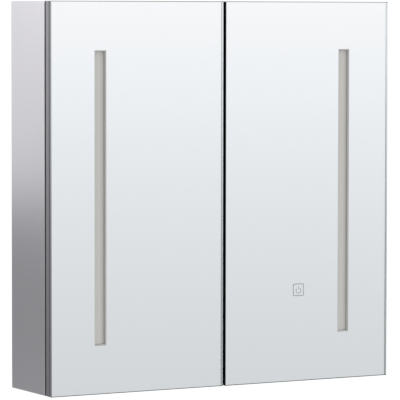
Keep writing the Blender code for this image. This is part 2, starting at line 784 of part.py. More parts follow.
def arm_channel(side, tag, z):
    """The arm's channel over the plate's rail: a web, and a cheek along each edge of it."""
    web_low = (ARM_U - ARM_T * 0.49, ARM_CHANNEL_V, z - ARM_SIDE_Z)
    web_high = (ARM_U + ARM_T * 0.49, ARM_END_V, z + ARM_SIDE_Z)
    pieces = [side.block(f"arm_web_{tag}", web_low, web_high, helper=True)]
    cheek_u = (BOARD + PLATE_T + 3 * CLEAR, web_low[0] + 0.0005)
    for sign in (-1, 1):
        low = (cheek_u[0], ARM_CHANNEL_V + ARM_CHEEK_INSET, z + sign * (ARM_SIDE_Z - 0.00005))
        high = (cheek_u[1], ARM_END_V - ARM_CHEEK_INSET, z + sign * (ARM_SIDE_Z - ARM_CHEEK_T))
        pieces.append(side.block(f"arm_cheek_{tag}_{sign}", low, high, helper=True))
    return pieces


def hinge_plate(side, height, z):
    """A winged base on the side panel, with the raised rail that the arm clips over."""
    tag = f"{side.name}_{height}"
    face_u = BOARD + CLEAR
    size = (PLATE_T, PLATE_WING_W, PLATE_WING_L)
    centre = side.at(face_u + PLATE_T / 2, PLATE_V, z)
    wings = plate(f"hinge_plate_{tag}", centre, size, PLATE_WING_CORNER, 0, NICKEL)
    rail_low = (face_u + 0.0002, RAIL_V[0], z - RAIL_HALF_Z)
    rail_high = (ARM_U - ARM_T / 2 - CLEAR, RAIL_V[1], z + RAIL_HALF_Z)
    join(wings, side.block(f"plate_rail_{tag}", rail_low, rail_high, helper=True))
    for sign in (-1, 1):
        start = side.at(face_u - PLATE_T, PLATE_V, z + sign * PLATE_SCREW_Z)
        name = f"plate_screw_hole_{tag}_{sign}"
        cut(wings, rod(name, start, side.inward, PLATE_SCREW_R, 4 * PLATE_T, sides=12, helper=True))
    return wings


def main():
    case_panels()
    back_panel()
    shelves()
    electrics()
    for side in LEFT_AND_RIGHT:
        hanger(side)
        led_lead(side)
        door(side)


main()
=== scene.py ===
"""Looks of the two-door mirror cabinet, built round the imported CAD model. Metres throughout.

The frame is the CAD's: the wall plane is y = 0, the doors face -Y and the origin is the centre of
the back. Places on a door are given as u (inwards from the outer side face), v (backwards from the
mirror's front) and z.
"""

import math

import bmesh
import bpy
from mathutils import Matrix, Vector


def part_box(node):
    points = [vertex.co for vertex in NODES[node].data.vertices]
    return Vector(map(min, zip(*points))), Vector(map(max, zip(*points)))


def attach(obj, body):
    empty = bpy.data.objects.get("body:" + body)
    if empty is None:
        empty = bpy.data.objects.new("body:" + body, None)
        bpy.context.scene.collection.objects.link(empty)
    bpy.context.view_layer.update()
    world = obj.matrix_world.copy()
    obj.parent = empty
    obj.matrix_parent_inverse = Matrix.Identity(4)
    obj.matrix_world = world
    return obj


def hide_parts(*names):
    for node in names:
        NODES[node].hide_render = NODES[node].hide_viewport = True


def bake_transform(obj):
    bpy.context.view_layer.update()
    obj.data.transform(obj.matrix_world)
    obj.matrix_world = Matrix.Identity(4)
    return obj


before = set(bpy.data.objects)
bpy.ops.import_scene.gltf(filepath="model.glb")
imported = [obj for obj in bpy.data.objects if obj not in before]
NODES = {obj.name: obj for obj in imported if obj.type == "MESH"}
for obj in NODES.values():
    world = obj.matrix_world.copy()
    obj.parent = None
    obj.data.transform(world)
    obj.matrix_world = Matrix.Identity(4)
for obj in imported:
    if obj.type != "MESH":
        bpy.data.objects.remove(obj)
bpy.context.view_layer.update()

MM = 0.001
SIDES = ("left", "right")
HEIGHTS = ("lower", "upper")
HALF_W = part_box("side_panel_right")[1].x
FRONT_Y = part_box("mirror_left")[0].y


# Camera, world, lights and floor

CAMERA_AT = (-2.2667, -4.1565, 0.2794)
CAMERA_YAW = math.radians(28.963)
CAMERA_PITCH = math.radians(3.3)
CAMERA_ROLL = math.radians(0.08)
CAMERA_LENS_MM = 267.04
SENSOR_MM = 36
CAMERA_SHIFT_Y = -0.0357


def add_camera():
    data = bpy.data.cameras.new("camera")
    data.sensor_width = SENSOR_MM
    data.lens = CAMERA_LENS_MM
    data.shift_y = CAMERA_SHIFT_Y
    data.clip_end = 60
    camera = bpy.data.objects.new("camera", data)
    camera.location = CAMERA_AT
    turns = (("Z", -CAMERA_YAW), ("X", math.pi / 2 - CAMERA_PITCH), ("Z", CAMERA_ROLL))
    yaw, pitch, roll = (Matrix.Rotation(angle, 3, axis) for axis, angle in turns)
    camera.rotation_euler = (yaw @ pitch @ roll).to_euler()
    bpy.context.scene.collection.objects.link(camera)
    bpy.context.scene.camera = camera


class Tree:
    """Short calls for building a node tree."""

    def __init__(self, owner):
        owner.use_nodes = True
        self.nodes = owner.node_tree.nodes
        self.links = owner.node_tree.links

    def add(self, kind, **settings):
        node = self.nodes.new(kind)
        for name, value in settings.items():
            setattr(node, name, value)
        return node

    def feed(self, source, target):
        self.links.new(source, target)

    def set_or_feed(self, socket, value):
        if isinstance(value, bpy.types.NodeSocket):
            self.feed(value, socket)
        else:
            socket.default_value = value

    def math(self, operation, a, b=0.0):
        node = self.add("ShaderNodeMath", operation=operation)
        self.set_or_feed(node.inputs[0], a)
        self.set_or_feed(node.inputs[1], b)
        return node.outputs[0]

    def remap(self, value, low, high, to_low, to_high, smooth=True):
        node = self.add("ShaderNodeMapRange")
        node.interpolation_type = "SMOOTHSTEP" if smooth else "LINEAR"
        self.set_or_feed(node.inputs["Value"], value)
        ends = (("From Min", low), ("From Max", high), ("To Min", to_low), ("To Max", to_high))
        for name, number in ends:
            self.set_or_feed(node.inputs[name], number)
        return node.outputs["Result"]

    def mix(self, factor, a, b):
        node = self.add("ShaderNodeMix", data_type="RGBA")
        self.set_or_feed(node.inputs[0], factor)
        self.set_or_feed(node.inputs[6], a)
        self.set_or_feed(node.inputs[7], b)
        return node.outputs[2]

    def split(self, vector):
        node = self.add("ShaderNodeSeparateXYZ")
        self.feed(vector, node.inputs[0])
        return node.outputs


BACKDROP_LEVEL = 1.06
COOL_WHITE = (0.975, 0.99, 1.0, 1)
WARM_WHITE = (0.975, 0.963, 0.966, 1)

# Changes of level with direction: from, to, the level before and the level after.
HORIZON_RISE = (-0.15, 0.03, 0.0, 1.0)
LEFT_LIFT = (-0.2, 0.35, 1.03, 1.0)
RIGHT_FALL = (0.74, 1.02, 1.0, 0.5)
OVERHEAD_FALL = (0.15, 0.45, 1.0, 0.55)
FLAG_EDGE = (0.78, 0.93, BACKDROP_LEVEL, 0.03)
WARM_RISE = (-0.028, 0.004, 0.0, 1.0)
FRONT_TO_BACK = (-0.1, 0.4)

LEVEL_BELOW_HORIZON = 0.674
STRAIGHT_RISE = 0.186
CURVED_RISE = 0.24
FLAG_DIRECTION = (-0.6, 0.8)


def add_world():
    """An even white backdrop, and the studio that the object reflects.

    The studio is dimmer to the front's right and below the horizon, and has a dark flag behind on the left.
    """
    world = bpy.data.worlds.new("studio")
    bpy.context.scene.world = world
    tree = Tree(world)
    x, y, z = tree.split(tree.add("ShaderNodeTexCoord").outputs["Generated"])
    height = tree.remap(z, *HORIZON_RISE, smooth=False)
    rise = tree.math("ADD", STRAIGHT_RISE, tree.math("MULTIPLY", height, CURVED_RISE))
    front = tree.math("ADD", LEVEL_BELOW_HORIZON, tree.math("MULTIPLY", height, rise))
    for direction, change in ((x, LEFT_LIFT), (x, RIGHT_FALL), (z, OVERHEAD_FALL)):
        front = tree.math("MULTIPLY", front, tree.remap(direction, *change))
    flag_x, flag_y = FLAG_DIRECTION
    towards_flag = tree.math("ADD", tree.math("MULTIPLY", x, flag_x), tree.math("MULTIPLY", y, flag_y))
    level = tree.remap(y, *FRONT_TO_BACK, front, tree.remap(towards_flag, *FLAG_EDGE))
    seen_directly = tree.add("ShaderNodeLightPath").outputs["Is Camera Ray"]
    level = tree.remap(seen_directly, 0.0, 1.0, level, BACKDROP_LEVEL, smooth=False)
    background = tree.nodes["Background"]
    tree.feed(level, background.inputs["Strength"])
    ahead = tree.remap(y, *FRONT_TO_BACK, 1.0, 0.0)
    ahead_and_up = tree.math("MULTIPLY", tree.remap(z, *WARM_RISE), ahead)
    tree.feed(tree.mix(ahead_and_up, COOL_WHITE, WARM_WHITE), background.inputs["Color"])


# Name, place, where it points, side in metres and watts.
LIGHTS = (
    ("left_softbox", (-0.69, 0.64, 0.27), (-0.30, -0.06, 0.27), 0.65, 0.95),
    ("upper_left", (-0.90, 0.10, 0.60), (-0.30, -0.10, 0.10), 0.4, 8.5),
    ("upper_right", (0.95, 0.30, 0.75), (0.30, -0.05, 0.10), 0.6, 4.0),
    ("overhead", (0.0, -0.8, 2.4), (0, 0, 0), 2.2, 18),
)


def add_lights():
    for name, at, towards, size, watts in LIGHTS:
        data = bpy.data.lights.new(name, "AREA")
        data.energy = watts
        data.size = size
        light = bpy.data.objects.new(name, data)
        light.location = at
        light.rotation_euler = (Vector(towards) - Vector(at)).to_track_quat("-Z", "Y").to_euler()
        light.visible_camera = False
        bpy.context.scene.collection.objects.link(light)


FLOOR_Z = -1.60
FLOOR_RADIUS = 9.5


def add_floor():
    form = bmesh.new()
    bmesh.ops.create_circle(form, cap_ends=True, segments=96, radius=FLOOR_RADIUS)
    mesh = bpy.data.meshes.new("floor")
    form.to_mesh(mesh)
    form.free()
    floor = bpy.data.objects.new("floor", mesh)
    floor.location = (0, 0, FLOOR_Z)
    bpy.context.scene.collection.objects.link(floor)
    material = bpy.data.materials.new("pale_floor")
    tree = Tree(material)
    shader = tree.nodes["Principled BSDF"]
    shader.inputs["Roughness"].default_value = 0.7
    noise = tree.add("ShaderNodeTexNoise")
    noise.inputs["Scale"].default_value = 3.0
    shade = tree.mix(noise.outputs["Fac"], (0.69, 0.69, 0.69, 1), (0.73, 0.73, 0.73, 1))
    tree.feed(shade, shader.inputs["Base Color"])
    mesh.materials.append(material)


# Materials

class Finish(Tree):
    """A Principled material with procedural variation. Uniform values go on the shader's own sockets."""

    def __init__(self, name, roughness=0.5, metallic=0.0, **sockets):
        self.material = bpy.data.materials.new(name)
        super().__init__(self.material)
        self.shader = self.nodes["Principled BSDF"]
        self.shader.inputs["Roughness"].default_value = roughness
        self.shader.inputs["Metallic"].default_value = metallic
        for socket, value in sockets.items():
            self.shader.inputs[socket.replace("_", " ")].default_value = value
        self.place = self.add("ShaderNodeTexCoord").outputs["Object"]

    def noise(self, size, detail=3.0, roughness=0.5, stretch=(1, 1, 1)):
        """Noise whose features are about size metres across."""
        mapping = self.add("ShaderNodeMapping")
        mapping.inputs["Scale"].default_value = stretch
        self.feed(self.place, mapping.inputs["Vector"])
        node = self.add("ShaderNodeTexNoise")
        self.feed(mapping.outputs[0], node.inputs["Vector"])
        node.inputs["Scale"].default_value = 1 / size
        node.inputs["Detail"].default_value = detail
        node.inputs["Roughness"].default_value = roughness
        return node.outputs["Fac"]

    def colour(self, low, high, pattern):
        self.feed(self.mix(pattern, (*low, 1), (*high, 1)), self.shader.inputs["Base Color"])
        return self

    def rough(self, low, high, pattern):
        self.feed(self.remap(pattern, 0.3, 0.7, low, high), self.shader.inputs["Roughness"])
        return self

    def bump(self, pattern, depth, strength=1.0):
        node = self.add("ShaderNodeBump")
        node.inputs["Distance"].default_value = depth
        node.inputs["Strength"].default_value = strength
        self.feed(pattern, node.inputs["Height"])
        self.feed(node.outputs[0], self.shader.inputs["Normal"])
        return self


MELAMINE_LOW = (0.66, 0.66, 0.665)
MELAMINE_HIGH = (0.72, 0.72, 0.725)
# Metal facing changes to melamine between these depths from the outer faces.
FACING_DEPTH = (14.7 * MM, 14.9 * MM)
# The painted-shade band, a dark band painted on the case's front edges where the gap behind the doors lies
# in shade, changes to what lies behind it between these depths from the case's front.
PAINTED_SHADE_BAND_DEPTH = (0.1 * MM, 0.4 * MM)
FACING_METALLIC = 0.9
DIFFUSER_SHADE = (-1 * MM, 9.5 * MM)
# Painted shade on the polished glass edge: its colour goes from the shaded tone to the lit tone between
# these heights.
PAINTED_EDGE_LIGHT_RISE = (-0.10, 0.25)


def case_finish():
    """Satin metal facing outside, pale melamine inside, and painted shade as a dark band on the front
    edges, in the shaded gap behind the doors.
    """
    finish = Finish("satin_facing")
    grain = finish.noise(0.0006, detail=2.0)
    mottle = finish.noise(0.004, detail=4.0, roughness=0.65)
    both = finish.math("ADD", finish.math("MULTIPLY", grain, 0.4), finish.math("MULTIPLY", mottle, 0.6))
    foil = finish.mix(both, (0.604, 0.594, 0.627, 1), (0.724, 0.711, 0.748, 1))
    melamine = finish.mix(mottle, (*MELAMINE_LOW, 1), (*MELAMINE_HIGH, 1))
    # Painted shade: a near-black tone for the case's front edges, which lie in the shaded gap behind the
    # doors.
    painted_shade_band = finish.mix(grain, (0.045, 0.043, 0.046, 1), (0.075, 0.072, 0.076, 1))
    x, y, z = finish.split(finish.place)
    spread = finish.math("MAXIMUM", finish.math("ABSOLUTE", x), finish.math("ABSOLUTE", z))
    facing_to, melamine_from = FACING_DEPTH
    outside = finish.remap(spread, HALF_W - melamine_from, HALF_W - facing_to, 0.0, 1.0)
    case_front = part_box("side_panel_left")[0].y
    shade_band_to, facing_from = PAINTED_SHADE_BAND_DEPTH
    behind = finish.remap(y, case_front + shade_band_to, case_front + facing_from, 0.0, 1.0)
    colour = finish.mix(behind, painted_shade_band, finish.mix(outside, melamine, foil))
    finish.feed(colour, finish.shader.inputs["Base Color"])
    faced = finish.math("MULTIPLY", outside, behind)
    finish.feed(finish.math("MULTIPLY", faced, FACING_METALLIC), finish.shader.inputs["Metallic"])
    finish.rough(0.33, 0.41, mottle)
    finish.bump(grain, 0.00004, 0.6)
    return finish.material


def diffuser_finish():
    """Frosted plastic, with painted shade darkening it towards the right side of its strip, where the
    strip's recess shades it.
    """
    finish = Finish("frosted_diffuser")
    mottle = finish.noise(0.002)
    frosted = finish.mix(mottle, (0.66, 0.655, 0.618, 1), (0.722, 0.716, 0.678, 1))
    # Painted shade: the darker copy of the diffuser colour, used towards the right side of each strip.
    shaded = finish.mix(mottle, (0.49, 0.487, 0.46, 1), (0.53, 0.526, 0.50, 1))
    low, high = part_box("led_diffuser_right")
    x = finish.split(finish.place)[0]
    strip_centre = finish.math("MULTIPLY", finish.math("SIGN", x), (low.x + high.x) / 2)
    across = finish.math("SUBTRACT", x, strip_centre)
    shade = finish.remap(across, *DIFFUSER_SHADE, 0.0, 1.0)
    finish.feed(finish.mix(shade, frosted, shaded), finish.shader.inputs["Base Color"])
    finish.rough(0.5, 0.6, mottle)
    finish.bump(mottle, 0.00003, 0.5)
    return finish.material


def polished_edge_finish():
    """A polished glass edge, with painted shade darkening it towards the bottom."""
    finish = Finish("polished_glass_edge", metallic=1.0)
    mottle = finish.noise(0.004)
    # Painted light and shade: a lit tone at the top of the edge and a shaded tone at the bottom.
    painted_lit_tone = finish.mix(mottle, (0.91, 0.945, 0.945, 1), (0.94, 0.975, 0.975, 1))
    painted_shade_tone = finish.mix(mottle, (0.51, 0.535, 0.535, 1), (0.55, 0.575, 0.575, 1))
    z = finish.split(finish.place)[2]
    painted_edge_light = finish.remap(z, *PAINTED_EDGE_LIGHT_RISE, 0.0, 1.0, smooth=False)
    finish.feed(finish.mix(painted_edge_light, painted_shade_tone, painted_lit_tone), finish.shader.inputs["Base Color"])
    finish.rough(0.08, 0.12, mottle)
    return finish.material


def silvering():
    finish = Finish("silvering", metallic=1.0, roughness=0.0)
    haze = finish.noise(0.25, detail=1.0)
    finish.colour((0.955, 0.968, 0.985), (0.962, 0.975, 0.990), haze)
    finish.rough(0.0, 0.012, haze)
    return finish.material


def simple(name, low, high, size=0.003, roughness=(0.4, 0.5), metallic=0.0, depth=0.00003,
           stretch=(1, 1, 1), **sockets):
    """A finish with a slight mottle in colour, roughness and height."""
    finish = Finish(name, metallic=metallic, **sockets)
    pattern = finish.noise(size, stretch=stretch)
    finish.colour(low, high, pattern)
    finish.rough(*roughness, pattern)
    finish.bump(pattern, depth, 0.5)
    return finish.material


CASE = case_finish()
SILVER = silvering()
CLEAR_GLASS = simple("mirror_front_glass", (0.985, 0.993, 0.992), (0.99, 0.997, 0.996), 0.2,
                     (0.0, 0.003), depth=0.0, Transmission_Weight=1.0, IOR=1.52)
GROUND_EDGE = simple("ground_glass_edge", (0.128, 0.142, 0.142), (0.176, 0.19, 0.19), 0.0008, (0.3, 0.4),
                     stretch=(1, 1, 0.12))
POLISHED_EDGE = polished_edge_finish()
# Near-black seal with little specular: partly the seal's own colour, partly painted shade of the narrow gap
# between the doors.
SEAL_AND_GAP_SHADE = simple("seal_and_painted_gap_shade", (0.002, 0.003, 0.004), (0.005, 0.006, 0.008), 0.001, (0.6, 0.7), depth=0.0,
                   Specular_IOR_Level=0.1)
GREY_EDGE = simple("door_edge_band", (0.118, 0.112, 0.122), (0.144, 0.138, 0.149), 0.0012, (0.45, 0.6))
FOAM = simple("grey_foam", (0.20, 0.20, 0.205), (0.27, 0.27, 0.275), 0.0006, (0.8, 0.95), depth=0.0001)
MELAMINE = simple("pale_melamine", MELAMINE_LOW, MELAMINE_HIGH, 0.0015, (0.4, 0.5))
ANODISED = simple("anodised_channel", (0.66, 0.66, 0.65), (0.73, 0.73, 0.715), 0.001, (0.35, 0.45),
                  metallic=0.5, stretch=(1, 1, 0.08))
FROSTED = diffuser_finish()
CIRCUIT = simple("white_circuit_board", (0.70, 0.70, 0.66), (0.76, 0.76, 0.72), 0.002, (0.35, 0.45))
PHOSPHOR = simple("led_phosphor", (0.78, 0.62, 0.16), (0.84, 0.70, 0.22), 0.0008, (0.25, 0.35))
NICKEL = simple("nickel_plate", (0.60, 0.59, 0.565), (0.70, 0.69, 0.66), 0.004, (0.16, 0.28), metallic=1.0)
ZINC = simple("zinc_plate", (0.50, 0.515, 0.53), (0.66, 0.67, 0.68), 0.003, (0.25, 0.42), metallic=1.0)
PLASTIC = simple("white_plastic", (0.74, 0.74, 0.73), (0.79, 0.79, 0.78), 0.0009, (0.38, 0.5))
BLACK_PLASTIC = simple("black_plastic", (0.018, 0.018, 0.02), (0.03, 0.03, 0.032), 0.0009, (0.4, 0.55))
SHEATH = simple("pale_sheath", (0.62, 0.62, 0.61), (0.68, 0.68, 0.67), 0.002, (0.4, 0.5))
SILICONE = simple("clear_silicone", (0.62, 0.62, 0.61), (0.70, 0.70, 0.69), 0.001, (0.3, 0.4),
                  Transmission_Weight=0.35, IOR=1.42)
GLASS = simple("shelf_glass", (0.86, 0.93, 0.91), (0.88, 0.945, 0.93), 0.05, (0.0, 0.01), depth=0.0,
               Transmission_Weight=1.0, IOR=1.5)
MARK_PAINT = simple("touch_mark_paint", (0.68, 0.68, 0.75), (0.74, 0.74, 0.81), 0.001, (0.35, 0.45))

NODE_FINISHES = (
    (("side_panel", "top_panel", "bottom_panel"), CASE),
    (("back_panel",), MELAMINE),
    (("door_board",), GREY_EDGE),
    (("mirror_bed",), FOAM),
    (("mirror_left", "mirror_right", "inner_mirror"), SILVER),
    (("glass_shelf",), GLASS),
    (("hinge_arm", "hinge_cup", "hinge_plate", "shelf_pin"), NICKEL),
    (("hinge_pin", "hanger_plate"), ZINC),
    (("hanger_cover", "electrics_cover", "led_driver"), PLASTIC),
    (("terminal_block", "cable_gland", "touch_sensor"), BLACK_PLASTIC),
    (("led_lead",), SHEATH),
    (("led_channel",), ANODISED),
    (("led_diffuser",), FROSTED),
    (("led_board",), CIRCUIT),
    (("bumper",), SILICONE),
)


def paint_nodes():
    for starts, material in NODE_FINISHES:
        for name, node in NODES.items():
            if name.startswith(starts):
                node.data.materials.clear()
                node.data.materials.append(material)


# Building pieces

def piece(name, form, body, materials, smooth_angle=None):
    """Links a bmesh as a piece that rides on a body."""
    mesh = bpy.data.meshes.new(name)
    form.to_mesh(mesh)
    form.free()
    obj = bpy.data.objects.new(name, mesh)
    bpy.context.scene.collection.objects.link(obj)
    for material in materials:
        mesh.materials.append(material)
    if smooth_angle:
        mesh.shade_smooth()
        mesh.set_sharp_from_angle(angle=math.radians(smooth_angle))
    if body:
        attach(obj, body)
    return obj


def box_form(low, high, rounding=0.0, segments=2):
    ends = [sorted(pair) for pair in zip(low, high)]
    form = bmesh.new()
    bmesh.ops.create_cube(form, size=1.0)
    bmesh.ops.scale(form, vec=[b - a for a, b in ends], verts=form.verts)
    bmesh.ops.translate(form, vec=[(a + b) / 2 for a, b in ends], verts=form.verts)
    if rounding:
        bmesh.ops.bevel(form, geom=form.edges[:], offset=rounding, segments=segments, affect="EDGES",
                        profile=0.5)
    return form


def turned_form(profile, steps=24):
    """Turns (radius, height) points, from the axis at the top down to the axis at the bottom, about +Z."""
    form = bmesh.new()
    verts = [form.verts.new((r, 0, h)) for r, h in profile]
    edges = [form.edges.new(pair) for pair in zip(verts, verts[1:])]
    bmesh.ops.spin(form, geom=verts + edges, cent=(0, 0, 0), axis=(0, 0, 1), angle=2 * math.pi, steps=steps,
                   use_merge=True)
    bmesh.ops.remove_doubles(form, verts=form.verts, dist=1e-6)
    bmesh.ops.recalc_face_normals(form, faces=form.faces)
    return form


def outline_form(points, thickness):
    """A flat outline in X and Y, thickened from z = 0 to z = thickness."""
    form = bmesh.new()
    face = form.faces.new([form.verts.new((x, y, 0)) for x, y in points])
    made = bmesh.ops.extrude_face_region(form, geom=[face])["geom"]
    raised = [v for v in made if isinstance(v, bmesh.types.BMVert)]
    bmesh.ops.translate(form, vec=(0, 0, thickness), verts=raised)
    bmesh.ops.recalc_face_normals(form, faces=form.faces)
    return form


def ring_form(outer, inner, thickness):
    """The band between two outlines with as many points each, thickened upwards from z = 0."""
    form = bmesh.new()
    low_out, high_out, low_in, high_in = (
        [form.verts.new((x, y, z)) for x, y in points] for points in (outer, inner) for z in (0, thickness))
    for a, b in ((low_out, high_out), (high_out, high_in), (high_in, low_in), (low_in, low_out)):
        for i in range(len(a)):
            j = (i + 1) % len(a)
            form.faces.new((a[i], a[j], b[j], b[i]))
    bmesh.ops.recalc_face_normals(form, faces=form.faces)
    return form


def without(form, cutters):
    """The form with each cutter's form cut away. All of them are freed."""
    made = []
    for shape in (form, *cutters):
        mesh = bpy.data.meshes.new("scratch")
        shape.to_mesh(mesh)
        shape.free()
        made.append(bpy.data.objects.new("scratch", mesh))
        bpy.context.scene.collection.objects.link(made[-1])
    body, tools = made[0], made[1:]
    for tool in tools:
        modifier = body.modifiers.new("cut", "BOOLEAN")
        modifier.object = tool
        modifier.solver = "EXACT"
    bpy.context.view_layer.update()
    result = bmesh.new()
    result.from_object(body, bpy.context.evaluated_depsgraph_get())
    for obj in made:
        mesh = obj.data
        bpy.data.objects.remove(obj)
        bpy.data.meshes.remove(mesh)
    return result


def copies(form, places):
    """One form at every (point, direction) place, with its own +Z along the direction."""
    together = bmesh.new()
    scratch = bpy.data.meshes.new("scratch")
    for point, direction in places:
        one = form.copy()
        turn = Vector((0, 0, 1)).rotation_difference(Vector(direction)).to_matrix().to_4x4()
        one.transform(Matrix.Translation(point) @ turn)
        one.to_mesh(scratch)
        one.free()
        together.from_mesh(scratch)
    bpy.data.meshes.remove(scratch)
    form.free()
    return together


def rounded_rectangle(half_x, half_y, radius, steps=6):
    points = []
    for quarter in range(4):
        sx, sy = ((1, 1), (-1, 1), (-1, -1), (1, -1))[quarter]
        for i in range(steps + 1):
            angle = math.radians(90 * (quarter + i / steps))
            points.append((sx * (half_x - radius) + radius * math.cos(angle),
                           sy * (half_y - radius) + radius * math.sin(angle)))
    return points


def arc(radius, start, end, steps):
    """Points on an arc about the origin, from one angle to another in degrees."""
    angles = [math.radians(start + (end - start) * i / steps) for i in range(steps + 1)]
    return [(radius * math.cos(a), radius * math.sin(a)) for a in angles]


class Side:
    """Places on the left or right half of the cabinet."""

    def __init__(self, name):
        self.name = name
        self.sign = -1 if name == "left" else 1
        self.door = f"{name}_door"
        self.inward = (-self.sign, 0, 0)

    def at(self, u, v, z):
        return Vector((self.sign * (HALF_W - u), FRONT_Y + v, z))


# Mirrors

ARRIS = 0.35 * MM
TOP_ARRIS = 0.9 * MM
BACK_ARRIS = 0.1 * MM
TAPE_T = 0.3 * MM
TAPE_GAP = 0.05 * MM
WINDOW_FIT = 0.3 * MM
TAPE_FRONT_INSET = 0.8 * MM
TAPE_END_INSET = 0.5 * MM
TAPE_ROUNDING = 0.08 * MM


def mirror_glass(side):
    """A slab of clear glass with a silvered back, open where the light strip shows.

    The top and left edges are ground and the others polished, but the left mirror's bottom edge is
    silvered, as the opening's walls are.
    """
    low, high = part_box(f"mirror_{side.name}")
    window_low, window_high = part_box(f"led_channel_{side.name}")
    thick = high.y - low.y
    form = bmesh.new()

    def rectangle(a, b, inset, top_inset, depth):
        x0, x1, z0, z1 = a.x + inset, b.x - inset, a.z + inset, b.z - top_inset
        return [form.verts.new((x, low.y + depth, z)) for x, z in ((x0, z0), (x1, z0), (x1, z1), (x0, z1))]

    outer = [
        rectangle(low, high, ARRIS, TOP_ARRIS, 0),
        rectangle(low, high, 0, 0, ARRIS),
        rectangle(low, high, 0, 0, thick - BACK_ARRIS),
        rectangle(low, high, BACK_ARRIS, BACK_ARRIS, thick),
    ]
    inner = [rectangle(window_low, window_high, -WINDOW_FIT, -WINDOW_FIT, depth) for depth in (thick, 0)]
    clear, ground, polished, silver = range(4)
    edge = (silver if side.name == "left" else polished, polished, ground, ground)
    kinds = (edge, edge, edge, [silver] * 4, [silver] * 4, [clear] * 4)
    loops = outer + inner + [outer[0]]
    for a, b, kind in zip(loops, loops[1:], kinds):
        for i in range(4):
            j = (i + 1) % 4
            form.faces.new((a[i], a[j], b[j], b[i])).material_index = kind[i]
    bmesh.ops.recalc_face_normals(form, faces=form.faces)
    finishes = (CLEAR_GLASS, GROUND_EDGE, POLISHED_EDGE, SILVER)
    glass = piece(f"mirror_glass_{side.name}", form, side.door, finishes)
    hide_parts(f"mirror_{side.name}")


def meeting_seal_and_gap_shade(side):
    """A near-black seal along the edge where the door meets the other one, partly the seal's own black and
    partly painted shade of the narrow gap between the doors.
    """
    low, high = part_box(f"mirror_{side.name}")
    meeting = (high.x if side.name == "left" else low.x) - side.sign * TAPE_GAP
    outwards = -side.sign * TAPE_T
    seam_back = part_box(f"door_board_{side.name}")[0].y
    tape = box_form((meeting, low.y + TAPE_FRONT_INSET, low.z + TAPE_END_INSET),
                    (meeting + outwards, seam_back, high.z - TAPE_END_INSET), TAPE_ROUNDING, 1)
    piece(f"meeting_seal_{side.name}", tape, side.door, (SEAL_AND_GAP_SHADE,))


MARK_ASIDE = 2.8 * MM
MARK_OFF_SILVER = 0.03 * MM
MARK_HALF = 9.9 * MM
MARK_CORNER_R = 2.4 * MM
MARK_INNER_R = 1.4 * MM
MARK_LINE = 1.25 * MM
MARK_RISE = 0.05 * MM
MARK_RING_R = 4.3 * MM
MARK_RING_LINE = 1.1 * MM
MARK_RING_DROP = 1.2 * MM
MARK_GAP_DEG = 38
MARK_BAR_HALF = (0.55 * MM, 2.3 * MM)
MARK_BAR_R = 0.5 * MM


def touch_mark():
    """A generic switch sign on the right mirror's silvering: a rounded square, an open ring and a bar."""
    low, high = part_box("touch_sensor")
    silvering_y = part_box("mirror_right")[1].y
    middle = (low + high) / 2
    centre = Vector((middle.x + MARK_ASIDE, silvering_y - MARK_OFF_SILVER, middle.z))
    turn = Matrix.Translation(centre) @ Matrix.Rotation(math.pi / 2, 4, "X")
    inner_half = MARK_HALF - MARK_LINE
    square = ring_form(rounded_rectangle(MARK_HALF, MARK_HALF, MARK_CORNER_R),
                       rounded_rectangle(inner_half, inner_half, MARK_INNER_R), MARK_RISE)
    sweep = (90 + MARK_GAP_DEG, 450 - MARK_GAP_DEG)
    outside = arc(MARK_RING_R + MARK_RING_LINE / 2, *sweep, 40)
    inside = arc(MARK_RING_R - MARK_RING_LINE / 2, *sweep, 40)
    open_ring = outline_form(outside + inside[::-1], MARK_RISE)
    bar_outline = rounded_rectangle(*MARK_BAR_HALF, MARK_BAR_R, 4)
    bar = outline_form([(x, y + MARK_RING_R) for x, y in bar_outline], MARK_RISE)
    for shape in (open_ring, bar):
        bmesh.ops.translate(shape, vec=(0, -MARK_RING_DROP, 0), verts=shape.verts)
    for name, form in (("outline", square), ("ring", open_ring), ("bar", bar)):
        form.transform(turn)
        piece(f"touch_mark_{name}", form, "right_door", (MARK_PAINT,))


# Light strips

CHIP_PITCH = 8.3 * MM


def led_chips(side):
    """Surface-mounted lamps along the circuit board: a white case each, with a yellow phosphor face."""
    low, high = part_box(f"led_board_{side.name}")
    count = int((high.z - low.z - CHIP_PITCH) / CHIP_PITCH)
    middle_x = (low.x + high.x) / 2
    places = [((middle_x, low.y, (i - (count - 1) / 2) * CHIP_PITCH), (0, -1, 0)) for i in range(count)]
    case = box_form((-1.4 * MM, -1.75 * MM, 0.02 * MM), (1.4 * MM, 1.75 * MM, 0.7 * MM), 0.15 * MM, 1)
    face = turned_form(((0, 0.78 * MM), (1.0 * MM, 0.76 * MM), (1.15 * MM, 0.69 * MM), (0, 0.69 * MM)), 12)
    piece(f"led_cases_{side.name}", copies(case, places), side.door, (PLASTIC,))
    piece(f"led_faces_{side.name}", copies(face, places), side.door, (PHOSPHOR,))


# Screws and caps

# The head's outline, as fractions of its radius and height.
SCREW_HEAD = ((0, 1), (0.45, 1), (0.78, 0.86), (0.95, 0.55), (1, 0.12), (0.97, 0), (0, 0))


def screw_form(radius, height):
    """A pan head with a cross recess, standing on z = 0."""
    profile = [(r * radius, h * height) for r, h in SCREW_HEAD]
    long, wide, deep = 0.62 * radius, 0.13 * radius, 0.35 * height
    cross = (box_form((-long, -wide, deep), (long, wide, 2 * height)),
             box_form((-wide, -long, deep), (wide, long, 2 * height)))
    return without(turned_form(profile), cross)


def add_screws(name, body, radius, height, places, material=NICKEL):
    piece(name, copies(screw_form(radius, height), places), body, (material,), 35)


CUP_U = 20.5 * MM
CUP_EAR_REACH = 24 * MM
CUP_SCREW_SINK = 0.02 * MM
PLATE_FACE_U = 17.28 * MM
PLATE_V = 60 * MM
PLATE_WING_REACH = 16 * MM
ARM_FACE_U = 22.65 * MM
ARM_SCREW_V = (42 * MM, 66 * MM)


